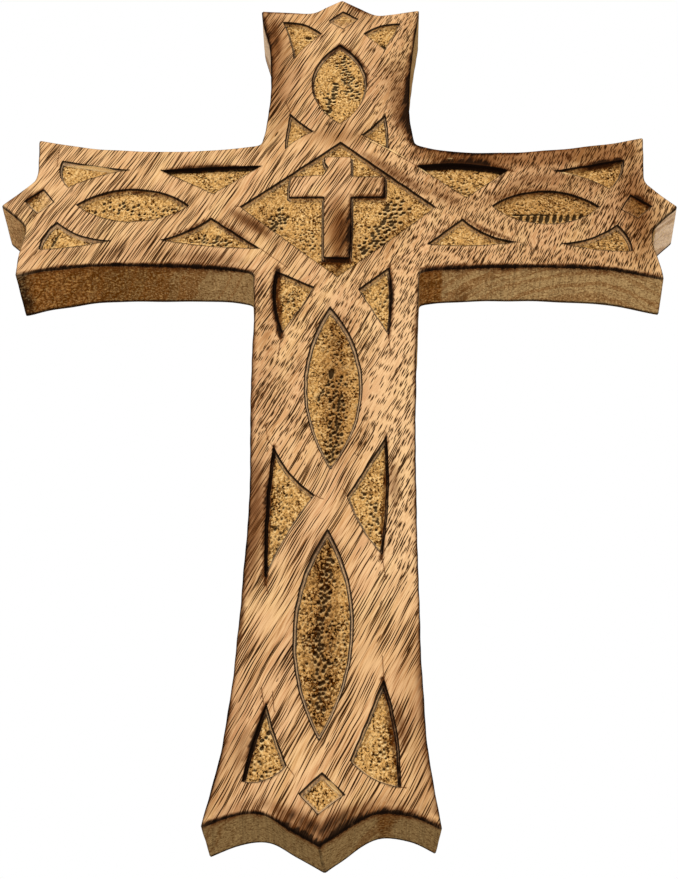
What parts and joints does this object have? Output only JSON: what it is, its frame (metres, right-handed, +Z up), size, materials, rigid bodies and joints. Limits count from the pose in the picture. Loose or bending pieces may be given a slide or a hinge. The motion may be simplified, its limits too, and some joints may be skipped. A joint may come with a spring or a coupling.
{
  "type": "wall cross",
  "caption": "Flat wooden wall cross with flared arms and pointed ends, carved with interlaced straps between sunk pockets and a small plain cross in a diamond at the crossing.",
  "frame": {"origin": "on the flat back, on the upright's centre line, level with the points of the crossbar", "axes": "+X to the right as seen from the front, +Y out of the back into the wall, +Z up; the carved front faces -Y"},
  "size_m": [0.209, 0.017, 0.3052],
  "materials": {
    "carved_wood": "satin waxed, edges and pockets scorched dark"
  },
  "bodies": {
    "root": {"carved_cross": "carved_wood"}
  },
  "joints": []
}
